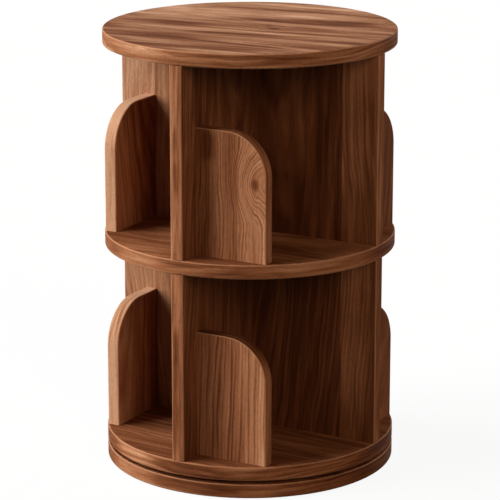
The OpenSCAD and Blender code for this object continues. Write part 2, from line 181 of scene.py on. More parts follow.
class Graph:
    """The node tree of a material or of the world."""

    MIX_FIRST, MIX_SECOND, MIX_RESULT = 6, 7, 2

    def __init__(self, owner: bpy.types.Material | bpy.types.World) -> None:
        """Starts an empty tree."""
        owner.use_nodes = True
        self.tree = owner.node_tree
        self.tree.nodes.clear()

    def node(
        self,
        kind: str,
        settings: dict[str, Any] | None = None,
        inputs: dict[str | int, Any] | None = None,
    ) -> bpy.types.Node:
        """Adds any node.

        Args:
            kind: Blender's type name of the node.
            settings: Attributes to set first; "stops" fills a colour ramp.
            inputs: Values or links of the node's sockets, by name or number.

        Returns:
            The new node.
        """
        made = self.tree.nodes.new(kind)
        for name, setting in (settings or {}).items():
            if name == "stops":
                self.fill_ramp(made.color_ramp, setting)
            else:
                setattr(made, name, setting)
        for name, given in (inputs or {}).items():
            self.feed(made.inputs[name], given)
        return made

    def feed(self, socket: bpy.types.NodeSocket, given: Any) -> None:
        """Links a socket or sets its value.

        Args:
            socket: The input to feed.
            given: A Value, an output socket, a number, a colour or a vector.
        """
        source = given.socket if isinstance(given, Value) else given
        if isinstance(source, bpy.types.NodeSocket):
            self.tree.links.new(source, socket)
        elif socket.type == "RGBA":
            socket.default_value = (*source, 1.0)
        else:
            socket.default_value = source

    @staticmethod
    def fill_ramp(ramp: bpy.types.ColorRamp, stops: Stops) -> None:
        """Sets a ramp's stops.

        Args:
            ramp: The ramp to fill.
            stops: Places from 0 to 1 with their colours.
        """
        while len(ramp.elements) < len(stops):
            ramp.elements.new(1.0)
        for element, (place, colour) in zip(ramp.elements, stops):
            element.position = place
            element.color = (*colour, 1.0)

    def position(self) -> bpy.types.NodeSocket:
        """Returns the place on the piece, in the frame that all pieces share."""
        return self.node("ShaderNodeTexCoord").outputs["Object"]

    def along(self, direction: Sequence[float], origin: Sequence[float] = ORIGIN) -> Value:
        """Measures the place on the piece along a direction.

        Args:
            direction: The direction, of length 1.
            origin: The point to measure from.

        Returns:
            The distance along the direction.
        """
        inputs = {0: self.position(), 1: tuple(direction)}
        dot = self.node("ShaderNodeVectorMath", {"operation": "DOT_PRODUCT"}, inputs)
        return Value(self, dot.outputs["Value"]) - Vector(direction).dot(Vector(origin))

    def turned(self, angle: float) -> tuple[Value, Value]:
        """Measures along the X and Y axes after a turn round the Z axis.

        Args:
            angle: Angle of the turn, in radians.

        Returns:
            The distances along both.
        """
        cosine, sine = math.cos(angle), math.sin(angle)
        return self.along((cosine, sine, 0.0)), self.along((-sine, cosine, 0.0))

    def vector(self, *parts: Value | float) -> bpy.types.NodeSocket:
        """Returns a vector made of three numbers."""
        return self.node("ShaderNodeCombineXYZ", None, dict(enumerate(parts))).outputs[0]

    def noise(self, *parts: Value | float, detail: float = 0.0) -> Value:
        """Adds a noise texture.

        Args:
            parts: The three coordinates, one per unit of noise.
            detail: How many finer layers there are.

        Returns:
            The noise, near 0.5 on the whole.
        """
        inputs = {"Vector": self.vector(*parts), "Scale": 1.0, "Detail": detail}
        made = self.node("ShaderNodeTexNoise", None, inputs)
        return Value(self, made.outputs["Fac"])

    def specks(self, size: float, detail: float) -> Value:
        """Returns noise of one size in all directions, near 0.5 on the whole."""
        return self.noise(*(self.along(axis.value) / size for axis in Axis), detail=detail)

    def fibres(
        self,
        place: Place,
        size: tuple[float, float],
        detail: float = 0.0,
        seed: float = 0.0,
    ) -> Value:
        """Adds noise that is stretched along the grain.

        Args:
            place: Place along, across and through the wood.
            size: Size of the noise along and across the grain.
            detail: How many finer layers there are.
            seed: Number that sets this noise apart from others.

        Returns:
            The noise, near 0.5 on the whole.
        """
        along, across, through = place
        length, width = size
        return self.noise(along / length + seed, across / width, through / width, detail=detail)

    def lottery(self, number: Value) -> Value:
        """Returns a fixed random number from 0 to 1 for each whole number."""
        made = self.node("ShaderNodeTexWhiteNoise", {"noise_dimensions": "1D"}, {"W": number})
        return Value(self, made.outputs["Value"])

    def ramp(self, place: Value, stops: Stops) -> bpy.types.NodeSocket:
        """Returns the colour that a ramp has at a place."""
        made = self.node("ShaderNodeValToRGB", {"stops": stops}, {"Fac": place})
        return made.outputs["Color"]

    def mix(self, share: Value | float, first: Any, second: Any) -> bpy.types.NodeSocket:
        """Mixes two colours.

        Args:
            share: Share of the second colour.
            first: The colour at share 0.
            second: The colour at share 1.

        Returns:
            The mixed colour.
        """
        inputs = {"Factor": share, self.MIX_FIRST: first, self.MIX_SECOND: second}
        made = self.node("ShaderNodeMix", {"data_type": "RGBA"}, inputs)
        return made.outputs[self.MIX_RESULT]

    def seen_rays(self) -> Value:
        """Returns 1 for rays that show a surface to the eye, 0 for those that light others."""
        paths = self.node("ShaderNodeLightPath")
        kinds = ("Is Camera Ray", "Is Glossy Ray", "Is Transmission Ray")
        camera, glossy, through = (Value(self, paths.outputs[kind]) for kind in kinds)
        return camera.at_least(glossy).at_least(through)


class Surface(Graph):
    """The node tree of a material, which ends in a Principled shader."""

    def __init__(self, material: bpy.types.Material) -> None:
        """Starts a tree that holds only the shader."""
        super().__init__(material)
        self.output = self.node("ShaderNodeOutputMaterial")
        self.shader = self.node("ShaderNodeBsdfPrincipled")
        self.feed(self.output.inputs["Surface"], self.shader.outputs["BSDF"])

    def bump(self, height: Value, depth: float) -> None:
        """Raises the surface's shading.

        Args:
            height: Height from 0 to 1.
            depth: Size of the height, in metres.
        """
        inputs = {"Height": height, "Strength": 1.0, "Distance": depth}
        made = self.node("ShaderNodeBump", None, inputs)
        self.set("Normal", made.outputs["Normal"])

    def set(self, name: str, given: Any) -> None:
        """Feeds one socket of the Principled shader."""
        self.feed(self.shader.inputs[name], given)


@dataclass(frozen=True)
class Heart:
    """Where the heart of the log lay, seen from the middle of a board.

    Attributes:
        across: Distance across the grain, along the face.
        behind: Distance through the board.
        lean: Drift across the grain for each metre along it.
        dip: Drift through the board for each metre along the grain.
    """

    across: float
    behind: float
    lean: float
    dip: float


@dataclass(frozen=True)
class Knot:
    """A small knot that the grain flows round.

    Attributes:
        along: Place along the grain, from the middle of the board.
        across: Place across the grain, from the middle of the board.
        size: Radius of the dark core.
        reach: Distance over which the rings are pushed aside.
        push: How far the rings are pushed at its core.
        depth: How much darker the core is.
    """

    along: float
    across: float
    size: float = 0.009
    reach: float = 0.045
    push: float = 0.030
    depth: float = 0.40

    STRETCH = 0.75
    SOLID = 0.1

    def bend(self, along: Value, across: Value) -> tuple[Value, Value]:
        """Works out what the knot does to the grain.

        Args:
            along: Place along the grain.
            across: Place across the grain.

        Returns:
            How far the rings are pushed, and how much darker the core is.
        """
        from_along = (along - self.along) * self.STRETCH
        from_across = across - self.across
        distance = (from_along * from_along + from_across * from_across).root()
        near = 1.0 - distance.smooth(0.0, self.reach)
        core = 1.0 - distance.smooth(self.size * self.SOLID, self.size)
        return near * self.push, core * self.depth


@dataclass(frozen=True)
class Streak:
    """One streak along the grain; the same shape also makes patches of painted light and shade.

    Attributes:
        along: Place of its middle along the grain, from the middle of the board.
        across: Place of its middle across the grain.
        length: Half its length.
        width: Half its width.
        depth: How much darker it is, or lighter when negative.
        lean: Drift across the grain for each metre along it.
    """

    along: float
    across: float
    length: float
    width: float
    depth: float
    lean: float = 0.0

    FULL = 0.3
    PAINTED_LIGHT_WIDTH = 0.03

    @classmethod
    def patches(cls, *spans: Triple) -> tuple["Streak", ...]:
        """Makes patches of painted light and shade as wide as a band, each from its place, half its
        length and its depth.
        """
        return tuple(cls(place, 0.0, half, cls.PAINTED_LIGHT_WIDTH, depth) for place, half, depth in spans)

    def shade(self, along: Value, across: Value) -> Value:
        """Works out how much darker a place is.

        Args:
            along: Place along the grain.
            across: Place across the grain.

        Returns:
            The change of tone.
        """
        from_along = along - self.along
        from_across = abs(across - self.across - from_along * self.lean)
        near = 1.0 - abs(from_along).smooth(self.length * self.FULL, self.length)
        return near * (1.0 - from_across.smooth(0.0, self.width)) * self.depth


@dataclass(frozen=True)
class Figure:
    """What the grain shows at a place: its tone, its pores and its fibres, each from 0 to 1."""

    tone: Value
    pore: Value
    fibre: Value

    def blend(self, other: "Figure", share: Value) -> "Figure":
        """Returns the figure with a share of another one mixed in."""
        pairs = ((self.tone, other.tone), (self.pore, other.pore), (self.fibre, other.fibre))
        return Figure(*(first + (second - first) * share for first, second in pairs))


@dataclass(frozen=True)
class Grain:
    """The grain of one walnut board.

    Attributes:
        seed: Number that sets this board apart from the others.
        heart: Where the heart of the log lay.
        tone: Tone of the board on the whole, from dark 0 to light 1.
        ring_gap: Distance between growth rings.
        ring_depth: How much darker the end of a ring is.
        streak_size: Length and width of the broad streaks.
        streak_depth: How much the broad streaks change the tone.
        vein_width: Width of the veins that follow the rings.
        vein_depth: How much the veins change the tone.
        ripple: How far the rings wave.
        drift: Change of the tone for each metre across the grain; on the front dividers it is
            painted shade, darker next to the through panel.
        knot: A knot, where the board has one.
        streaks: Single streaks that stand out; those on the front dividers, the through panels
            and the right panels are painted light and shade.
    """

    seed: float
    heart: Heart
    tone: float
    ring_gap: float = 0.0055
    ring_depth: float = 0.16
    streak_size: tuple[float, float] = (0.40, 0.035)
    streak_depth: float = 0.9
    vein_width: float = 0.0050
    vein_depth: float = 0.8
    ripple: float = 0.005
    drift: float = 0.0
    knot: Knot | None = None
    streaks: tuple[Streak, ...] = ()

    FIBRE_SIZE = (0.05, 0.0011)
    FIBRE_DEPTH = 0.30
    PORE_SIZE = (0.007, 0.00035)
    PORE_SHARE = (0.62, 0.72)
    WANDER_SIZE = (0.25, 0.07)
    WANDER = 0.020
    STREAK_WANDER = 0.010
    RIPPLE_SIZE = (0.06, 0.016)
    VEIN_LENGTH = 0.16
    LATE_WOOD = (0.15, 0.85, 1.0)
    YEAR_SPREAD = 0.8
    BAND_SEED = 5.0
    BAND_HEART = Heart(0.020, 0.028, 0.05, 0.03)
    BAND_RING_GAP = 0.0048
    BAND_RING_DEPTH = 0.20
    BAND_STREAK_SIZE = (0.10, 0.007)
    BAND_STREAK_DEPTH = 0.75

    def figure(self, graph: Graph, place: Place) -> Figure:
        """Works out the grain.

        Args:
            graph: The material's tree.
            place: Place along, across and through the board.

        Returns:
            The tone, pores and fibres there.
        """
        along, across, through = place
        wander = graph.fibres(place, self.WANDER_SIZE, 1.0, self.seed) - 0.5
        ripple = graph.fibres(place, self.RIPPLE_SIZE, 1.0, self.seed) - 0.5
        side = across + wander * self.WANDER - along * self.heart.lean - self.heart.across
        depth = through - along * self.heart.dip + self.heart.behind
        radius = (side * side + depth * depth).root() + ripple * self.ripple
        tone = self.tone + across * self.drift
        if self.knot:
            push, core = self.knot.bend(along, across)
            radius = radius - push
            tone = tone - core
        streak_line = across + wander * self.STREAK_WANDER
        for single in self.streaks:
            tone = tone - single.shade(along, streak_line)
        rings = radius / self.ring_gap
        ring = rings.fraction()
        late = ring.smooth(*self.LATE_WOOD[:2]) - ring.smooth(*self.LATE_WOOD[1:])
        year = graph.lottery(rings.whole() + self.seed)
        strength = year * self.YEAR_SPREAD + (1.0 - self.YEAR_SPREAD)
        vein_place = (along, radius, wander * self.WANDER)
        vein_size = (self.VEIN_LENGTH, self.vein_width)
        vein = graph.fibres(vein_place, vein_size, 2.0, self.seed) - 0.5
        streak = graph.fibres((along, side, through), self.streak_size, 2.0, self.seed) - 0.5
        fibre = graph.fibres(place, self.FIBRE_SIZE, 2.0, self.seed)
        pore = graph.fibres(place, self.PORE_SIZE, seed=self.seed).smooth(*self.PORE_SHARE)
        tone = tone + streak * self.streak_depth + vein * self.vein_depth
        tone = tone + (fibre - 0.5) * self.FIBRE_DEPTH - late * strength * self.ring_depth
        return Figure(tone, pore, fibre)

    def band(self, tone: float, streaks: tuple[Streak, ...] = ()) -> "Grain":
        """Makes the grain of an edge band that goes with this board.

        Args:
            tone: Tone of the band on the whole.
            streaks: Single streaks that stand out on it, and patches of painted light and shade.

        Returns:
            The grain, with its rings running out along the band.
        """
        return Grain(
            self.seed + self.BAND_SEED,
            self.BAND_HEART,
            tone,
            ring_gap=self.BAND_RING_GAP,
            ring_depth=self.BAND_RING_DEPTH,
            streak_size=self.BAND_STREAK_SIZE,
            streak_depth=self.BAND_STREAK_DEPTH,
            streaks=streaks,
        )


@dataclass(frozen=True)
class Walnut:
    """Oiled walnut: the colours and sheen that every board shares.

    Attributes:
        stops: Colours of the grain from dark to light.
        sheen_stops: The same, paler and less red, for a painted sheen.
        pore_colour: Colour deep in the pores.
        highlight_colour: Colour of the painted highlight along the eased edges, where they catch
            the light.
        rough: Roughness of the oil on the whole.
        specular: Strength of its reflections.
    """

    stops: Stops = (
        (0.0, (0.075, 0.023, 0.009)),
        (0.28, (0.165, 0.0555, 0.0215)),
        (0.52, (0.290, 0.113, 0.050)),
        (0.76, (0.410, 0.188, 0.094)),
        (1.0, (0.570, 0.312, 0.182)),
    )
    sheen_stops: Stops = (
        (0.0, (0.080, 0.022, 0.007)),
        (0.28, (0.170, 0.058, 0.022)),
        (0.52, (0.285, 0.128, 0.065)),
        (0.76, (0.405, 0.205, 0.115)),
        (1.0, (0.575, 0.330, 0.203)),
    )
    pore_colour: Triple = (0.050, 0.017, 0.008)
    highlight_colour: Triple = (0.54, 0.275, 0.150)
    rough: float = 0.58
    specular: float = 0.015

    PORE_STRENGTH = 0.40
    HIGHLIGHT_STRENGTH = 0.45
    FIBRE_ROUGH = 0.20
    PORE_ROUGH = 0.20
    WORN_ROUGH = 0.06
    FIBRE_RELIEF = 0.5
    RELIEF = 0.00010

    def paint(
        self,
        graph: Surface,
        figure: Figure,
        wear_and_highlight: Value,
        painted_sheen: Value | None = None,
    ) -> None:
        """Feeds the shader.

        Args:
            graph: The material's tree.
            figure: The grain at each place.
            wear_and_highlight: How much wear and painted highlight of an eased edge each place
                carries, from 0 to 1.
            painted_sheen: How much painted sheen each place carries, from 0 to 1, on a board that
                has one.
        """
        tone = figure.tone.clamped()
        wood = graph.ramp(tone, self.stops)
        # Painted sheen: paler, less red colours stand in for the reflections of the finish.
        if painted_sheen is not None:
            wood = graph.mix(painted_sheen, wood, graph.ramp(tone, self.sheen_stops))
        wood = graph.mix(figure.pore * self.PORE_STRENGTH, wood, self.pore_colour)
        # Painted highlight: the eased edges are lighter, as where they catch the light.
        wood = graph.mix(wear_and_highlight * self.HIGHLIGHT_STRENGTH, wood, self.highlight_colour)
        graph.set("Base Color", wood)
        rough = self.rough + (figure.fibre - 0.5) * self.FIBRE_ROUGH
        rough = rough + figure.pore * self.PORE_ROUGH - wear_and_highlight * self.WORN_ROUGH
        graph.set("Roughness", rough.clamped())
        graph.set("Specular IOR Level", self.specular)
        graph.bump(figure.fibre * self.FIBRE_RELIEF - figure.pore, self.RELIEF)


class Finish:
    """A surface that is the same on every piece that it covers."""

    def paint(self, graph: Surface) -> None:
        """Feeds the shader."""
        raise NotImplementedError

    def material(self, name: str) -> bpy.types.Material:
        """Returns a new material with this finish."""
        material = bpy.data.materials.new(name)
        self.paint(Surface(material))
        return material


@dataclass(frozen=True)
class Metal(Finish):
    """Bare or plated metal.

    Attributes:
        dull: Colour of its dull specks.
        bright: Colour between them.
        rough: Roughness on the whole.
        speck: Size of the specks.
        relief: Height of the specks.
    """

    dull: Triple
    bright: Triple
    rough: float
    speck: float
    relief: float

    SPECK_DETAIL = 3.0
    SPECK_EDGE = (0.35, 0.65)
    ROUGH_SPREAD = 0.25

    def marks(self, graph: Graph) -> Value:
        """Returns the specks, near 0.5 on the whole."""
        return graph.specks(self.speck, self.SPECK_DETAIL)

    def colour(self, graph: Graph, marks: Value) -> bpy.types.NodeSocket:
        """Returns the colour between the specks."""
        return graph.mix(marks.smooth(*self.SPECK_EDGE), self.dull, self.bright)

    def paint(self, graph: Surface) -> None:
        """Feeds the shader with specks of colour, gloss and height."""
        marks = self.marks(graph)
        graph.set("Base Color", self.colour(graph, marks))
        graph.set("Metallic", 1.0)
        graph.set("Roughness", (self.rough + (0.5 - marks) * self.ROUGH_SPREAD).clamped())
        graph.bump(marks, self.relief)


@dataclass(frozen=True)
class TurnedMetal(Metal):
    """Metal with fine rings round the axis, as a lathe leaves them."""

    def marks(self, graph: Graph) -> Value:
        """Returns the rings, near 0.5 on the whole."""
        x, y, z = (graph.along(axis.value) for axis in Axis)
        radius = (x * x + y * y).root()
        return graph.noise(radius / self.speck, z / self.speck, 0.0, detail=2.0)


@dataclass(frozen=True)
class CastMetal(Metal):
    """Metal of the cam locks, with painted shade in their driver slots.

    Attributes:
        face: Distance of the open face from the middle of the panel.
        lip: Depth at which a slot starts to darken.
        slot: Depth at which it is dark.
        shade: Colour of the painted shade in a slot.
    """

    face: float = 0.009
    lip: float = 0.0001
    slot: float = 0.0012
    shade: Triple = (0.04, 0.04, 0.04)

    def colour(self, graph: Graph, marks: Value) -> bpy.types.NodeSocket:
        """Returns the colour between the specks, with painted shade below the open face."""
        from_middle = abs(graph.along(Axis.X.value)).at_most(abs(graph.along(Axis.Y.value)))
        # Painted shade, darker with depth in the driver slots.
        below = (self.face - from_middle).smooth(self.lip, self.slot)
        return graph.mix(below, super().colour(graph, marks), self.shade)


class Hardware(Enum):
    """Metals of the turntable and of the fixings."""

    RING = TurnedMetal((0.60, 0.61, 0.62), (0.80, 0.81, 0.82), 0.34, 0.0004, 0.00001)
    BALL = Metal((0.62, 0.63, 0.64), (0.76, 0.77, 0.78), 0.14, 0.0006, 0.000001)
    SCREW = Metal((0.50, 0.49, 0.45), (0.70, 0.70, 0.68), 0.36, 0.0009, 0.000004)
    CAM = CastMetal((0.20, 0.20, 0.21), (0.32, 0.32, 0.33), 0.48, 0.0005, 0.00002)


@dataclass(frozen=True)
class Nylon(Finish):
    """Milky moulded plastic.

    Attributes:
        thin: Colour where the milk is thin.
        thick: Colour where it is thick.
        rough: Roughness at its smoothest.
    """

    thin: Triple = (0.76, 0.74, 0.68)
    thick: Triple = (0.84, 0.83, 0.79)
    rough: float = 0.38

    CLOUD_SIZE = 0.004
    CLOUD_EDGE = (0.3, 0.7)
    GRAIN_SIZE = 0.0004
    GRAIN_ROUGH = 0.18
    RELIEF = 0.00001

    def paint(self, graph: Surface) -> None:
        """Feeds the shader with soft clouds and a faint grain."""
        clouds = graph.specks(self.CLOUD_SIZE, 1.0).smooth(*self.CLOUD_EDGE)
        grain = graph.specks(self.GRAIN_SIZE, 1.0)
        graph.set("Base Color", graph.mix(clouds, self.thin, self.thick))
        graph.set("Roughness", (self.rough + grain * self.GRAIN_ROUGH).clamped())
        graph.bump(grain, self.RELIEF)


@dataclass(frozen=True)
class Felt(Finish):
    """Dense pressed felt.

    Attributes:
        shade: Colour between the fibres.
        fluff: Colour of the fibres.
        rough: Roughness between the fibres.
        sheen: Strength of the soft shine at grazing angles.
    """

    shade: Triple = (0.026, 0.021, 0.018)
    fluff: Triple = (0.085, 0.072, 0.062)
    rough: float = 0.86
    sheen: float = 0.25

    FIBRE_SIZE = (0.0012, 0.00025, 0.0004)
    FIBRE_EDGE = (0.45, 0.70)
    FIBRE_ROUGH = 0.12
    RELIEF = 0.00015

    def paint(self, graph: Surface) -> None:
        """Feeds the shader with crossing fibres."""
        x, y, z = (graph.along(axis.value) for axis in Axis)
        length, width, thickness = self.FIBRE_SIZE
        first = graph.noise(x / length, y / width, z / thickness, detail=2.0)
        second = graph.noise(y / length, x / width, z / thickness, detail=2.0)
        fibres = first.at_least(second)
        colour = graph.mix(fibres.smooth(*self.FIBRE_EDGE), self.shade, self.fluff)
        graph.set("Base Color", colour)
        graph.set("Roughness", (self.rough + fibres * self.FIBRE_ROUGH).clamped())
        graph.set("Sheen Weight", self.sheen)
        graph.bump(fibres, self.RELIEF)


@dataclass(frozen=True)
class Beech(Finish):
    """Raw beech with short, dark flecks along its grain.

    Attributes:
        grain: Direction of the grain.
        pale: Colour of the wood.
        warm: Colour of its darker years.
        fleck: Colour of the flecks.
        rough: Roughness at its smoothest.
        specular: Strength of its reflections.
    """

    grain: Axis
    pale: Triple = (0.60, 0.41, 0.23)
    warm: Triple = (0.47, 0.29, 0.15)
    fleck: Triple = (0.27, 0.14, 0.065)
    rough: float = 0.62
    specular: float = 0.3

    YEAR_SIZE = (0.05, 0.0022)
    YEAR_EDGE = (0.35, 0.65)
    FLECK_SIZE = (0.0022, 0.00032)
    FLECK_SHARE = (0.62, 0.70)
    FLECK_STRENGTH = 0.55
    FLECK_DEPTH = 0.5
    FIBRE_SIZE = (0.012, 0.0003)
    FIBRE_ROUGH = 0.2
    RELIEF = 0.00004

    def paint(self, graph: Surface) -> None:
        """Feeds the shader with years, flecks and fibres."""
        across, through = (axis for axis in Axis if axis is not self.grain)
        place = tuple(graph.along(axis.value) for axis in (self.grain, across, through))
        years = graph.fibres(place, self.YEAR_SIZE, 1.0).smooth(*self.YEAR_EDGE)
        flecks = graph.fibres(place, self.FLECK_SIZE).smooth(*self.FLECK_SHARE)
        fibres = graph.fibres(place, self.FIBRE_SIZE, 1.0)
        wood = graph.mix(years, self.pale, self.warm)
        graph.set("Base Color", graph.mix(flecks * self.FLECK_STRENGTH, wood, self.fleck))
        graph.set("Roughness", (self.rough + fibres * self.FIBRE_ROUGH).clamped())
        graph.set("Specular IOR Level", self.specular)
        graph.bump(fibres - flecks * self.FLECK_DEPTH, self.RELIEF)


# The eased-edge mask carries the painted highlight of the edges and the wear that makes them
# smoother.
WEAR_AND_HIGHLIGHT_SPAN = (0.2, 0.9)
SHARED_SPAN = 0.4


def eased(first: Value, second: Value, edge: float) -> Value:
    """Finds the eased edge where two surfaces meet.

    Args:
        first: Depth below the first surface.
        second: Depth below the second surface.
        edge: Radius of the eased edge.

    Returns:
        1 along the middle of the edge, falling to 0 where it meets the surfaces.
    """
    past_first, past_second = ((edge - depth).at_least(0.0) for depth in (first, second))
    both = past_first * past_first + past_second * past_second
    return (past_first * past_second * 2.0 / both).smooth(*WEAR_AND_HIGHLIGHT_SPAN)


def sharing(first: Value, second: Value, edge: float) -> Value:
    """Divides an eased edge between the two surfaces that meet there.

    Args:
        first: Depth below the first surface.
        second: Depth below the second surface.
        edge: Radius of the eased edge.

    Returns:
        1 on the first surface and 0 on the second.
    """
    reach = SHARED_SPAN * edge
    return (second - first).smooth(-reach, reach)


def dress(node: str, material: bpy.types.Material) -> None:
    """Gives a CAD node its material.

    Args:
        node: Name of the CAD node.
        material: The finished material.
    """
    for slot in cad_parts[node].material_slots:
        slot.material = material
    log.info("dressed %s in %s", node, material.name)


def solids(node: str) -> list[Box]:
    """Finds the separate solids of a CAD node.

    Args:
        node: Name of the CAD node.

    Returns:
        The lowest and highest corner of each solid.
    """
    shape = bmesh.new()
    shape.from_mesh(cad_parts[node].data)
    bmesh.ops.remove_doubles(shape, verts=shape.verts, dist=TOUCHING)
    waiting = set(shape.verts)
    boxes = []
    while waiting:
        island = [waiting.pop()]
        for vertex in island:
            for edge in vertex.link_edges:
                other = edge.other_vert(vertex)
                if other in waiting:
                    waiting.remove(other)
                    island.append(other)
        places = [vertex.co.copy() for vertex in island]
        boxes.append(tuple(Vector(pick(part) for part in zip(*places)) for pick in (min, max)))
    shape.free()
    return sorted(boxes, key=lambda box: tuple(round(part, DECIMALS) for part in box[0]))


def stand_in(box: Box, axis: Axis) -> Matrix:
    """Works out how a piece that stands on the origin is laid into a box.

    Args:
        box: The lowest and highest corner.
        axis: Axis that the piece's Z axis is laid along.

    Returns:
        The move that lays the piece there, from the low end of the box.
    """
    low, high = box
    direction = Vector(axis.value)
    start = (low + high) / 2 - direction * (high - low).dot(direction) / 2
    turn = Vector(Axis.Z.value).rotation_difference(direction)
    return Matrix.Translation(start) @ turn.to_matrix().to_4x4()


def take_up(*pieces: bpy.types.Object) -> None:
    """Selects pieces and nothing else, with the first of them active."""
    bpy.ops.object.select_all(action="DESELECT")
    for piece in pieces:
        piece.select_set(True)
    bpy.context.view_layer.objects.active = pieces[0]


class Workpiece:
    """A new mesh that is shaped with Blender's operators and then copied to its places."""

    THREAD_STEPS = 20
    THREAD_WIDTH = 0.7
    THREAD_SINK = 0.08

    def __init__(self, name: str) -> None:
        """Takes up the primitive that was just added."""
        self.piece = bpy.context.object
        self.piece.name = name

    @classmethod
    def bar(cls, name: str, radius: float, length: float, sides: int) -> "Workpiece":
        """Starts from a round bar.

        Args:
            name: Name of the piece.
            radius: Radius of the bar.
            length: Its length, up from the origin.
            sides: Number of its sides.

        Returns:
            The bar.
        """
        bpy.ops.object.select_all(action="DESELECT")
        bpy.ops.mesh.primitive_cylinder_add(vertices=sides, radius=radius, depth=length)
        made = cls(name)
        with made.opened():
            bpy.ops.mesh.select_all(action="SELECT")
            bpy.ops.transform.translate(value=(0.0, 0.0, length / 2))
        return made

    @classmethod
    def drawn(cls, name: str, outline: Sequence[tuple[float, float]]) -> "Workpiece":
        """Draws a line from corner to corner.

        Args:
            name: Name of the piece.
            outline: Radius and height of each corner.

        Returns:
            The line, in the XZ plane.
        """
        corners = [Vector((radius, 0.0, height)) for radius, height in outline]
        bpy.ops.object.select_all(action="DESELECT")
        bpy.ops.mesh.primitive_plane_add()
        made = cls(name)
        with made.opened():
            bpy.ops.mesh.select_all(action="SELECT")
            bpy.ops.mesh.merge(type="CENTER")
            bpy.ops.transform.translate(value=corners[0])
            for start, end in zip(corners, corners[1:]):
                bpy.ops.mesh.extrude_vertices_move(TRANSFORM_OT_translate={"value": end - start})
        return made

    @classmethod
    def turned(cls, name: str, outline: Sequence[tuple[float, float]], sides: int) -> "Workpiece":
        """Turns an outline round the Z axis.

        Args:
            name: Name of the piece.
            outline: Radius and height of each corner, from the foot of the axis to its top.
            sides: Number of sides.

        Returns:
            The closed shape.
        """
        made = cls.drawn(name, outline)
        with made.opened():
            bpy.ops.mesh.select_all(action="SELECT")
            bpy.ops.mesh.spin(steps=sides, angle=math.tau, center=ORIGIN, axis=Axis.Z.value)
            made.close_up()
        return made

    @contextmanager
    def opened(self) -> Iterator[None]:
        """Opens the mesh in edit mode with nothing selected, and closes it afterwards."""
        take_up(self.piece)
        bpy.ops.object.mode_set(mode="EDIT")
        bpy.ops.mesh.select_all(action="DESELECT")
        yield
        bpy.ops.object.mode_set(mode="OBJECT")

    def pick(self, kind: str, test: Callable[[Any], bool]) -> None:
        """Selects parts of the open mesh.

        Args:
            kind: Which parts: verts, edges or faces.
            test: Tells whether a part is wanted, by its place or normal.
        """
        shape = bmesh.from_edit_mesh(self.piece.data)
        for part in getattr(shape, kind):
            if test(part):
                part.select_set(True)
        bmesh.update_edit_mesh(self.piece.data)

    @staticmethod
    def close_up() -> None:
        """Merges what meets in the open mesh and turns all its faces outwards."""
        bpy.ops.mesh.select_all(action="SELECT")
        bpy.ops.mesh.remove_doubles(threshold=TOUCHING)
        bpy.ops.mesh.normals_make_consistent(inside=False)

    def ease_ends(self, radius: float, steps: int) -> None:
        """Rounds the edges at both ends of a bar.

        Args:
            radius: Radius of the rounded edge.
            steps: Number of faces across it.
        """
        with self.opened():
            self.pick("edges", lambda edge: abs(edge.verts[0].co.z - edge.verts[1].co.z) < TOUCHING)
            bpy.ops.mesh.bevel(offset=radius, segments=steps)

    def finish(self, modifier: bpy.types.Modifier) -> None:
        """Applies a modifier."""
        take_up(self.piece)
        bpy.ops.object.modifier_apply(modifier=modifier.name)

    def cut(self, tool: "Workpiece") -> None:
        """Cuts the shape of a tool out of the piece, and puts the tool away."""
        modifier = self.piece.modifiers.new("cut", "BOOLEAN")
        modifier.operation = "DIFFERENCE"
        modifier.object = tool.piece
        self.finish(modifier)
        bpy.data.objects.remove(tool.piece)

    def add_thread(self, core: float, crest: float, low: float, high: float, pitch: float) -> None:
        """Winds a thread round the piece.

        Args:
            core: Radius of the thread's foot.
            crest: Radius of its edge.
            low: Height where it starts.
            high: Height where it ends.
            pitch: Rise of one turn.
        """
        foot, width = core - pitch * self.THREAD_SINK, pitch * self.THREAD_WIDTH
        corners = [(foot, low), (crest, low + width / 2), (foot, low + width)]
        ridge = Workpiece.drawn("ridge", corners)
        with ridge.opened():
            bpy.ops.mesh.select_all(action="SELECT")
            bpy.ops.mesh.edge_face_add()
            bpy.ops.mesh.delete(type="ONLY_FACE")
        modifier = ridge.piece.modifiers.new("wind", "SCREW")
        modifier.steps = modifier.render_steps = self.THREAD_STEPS
        modifier.screw_offset = pitch
        modifier.iterations = int((high - low) / pitch - self.THREAD_WIDTH)
        ridge.finish(modifier)
        with ridge.opened():
            bpy.ops.mesh.select_non_manifold()
            bpy.ops.mesh.merge(type="COLLAPSE")
            ridge.close_up()
        take_up(self.piece, ridge.piece)
        bpy.ops.object.join()

    def smooth(self, degrees: float) -> None:
        """Shades the piece smoothly, apart from edges sharper than an angle."""
        take_up(self.piece)
        bpy.ops.object.shade_smooth_by_angle(angle=math.radians(degrees))

    def lay(
        self,
        boxes: Sequence[Box],
        materials: dict[Axis, bpy.types.Material],
    ) -> list[bpy.types.Object]:
        """Lays a copy of the piece into each box, and puts the model away.

        Args:
            boxes: The boxes.
            materials: Material of a copy that lies along each axis. A copy lies along the axis
                on which its box is longest, among those given here.

        Returns:
            The copies.
        """
        laid = []
        for box in boxes:
            size = box[1] - box[0]
            axis = max(materials, key=lambda side: Vector(side.value).dot(size))
            copy = self.piece.copy()
            copy.data = self.piece.data.copy()
            copy.data.transform(stand_in(box, axis))
            copy.data.materials.append(materials[axis])
            bpy.context.scene.collection.objects.link(copy)
            laid.append(copy)
        bpy.data.objects.remove(self.piece)
        return laid


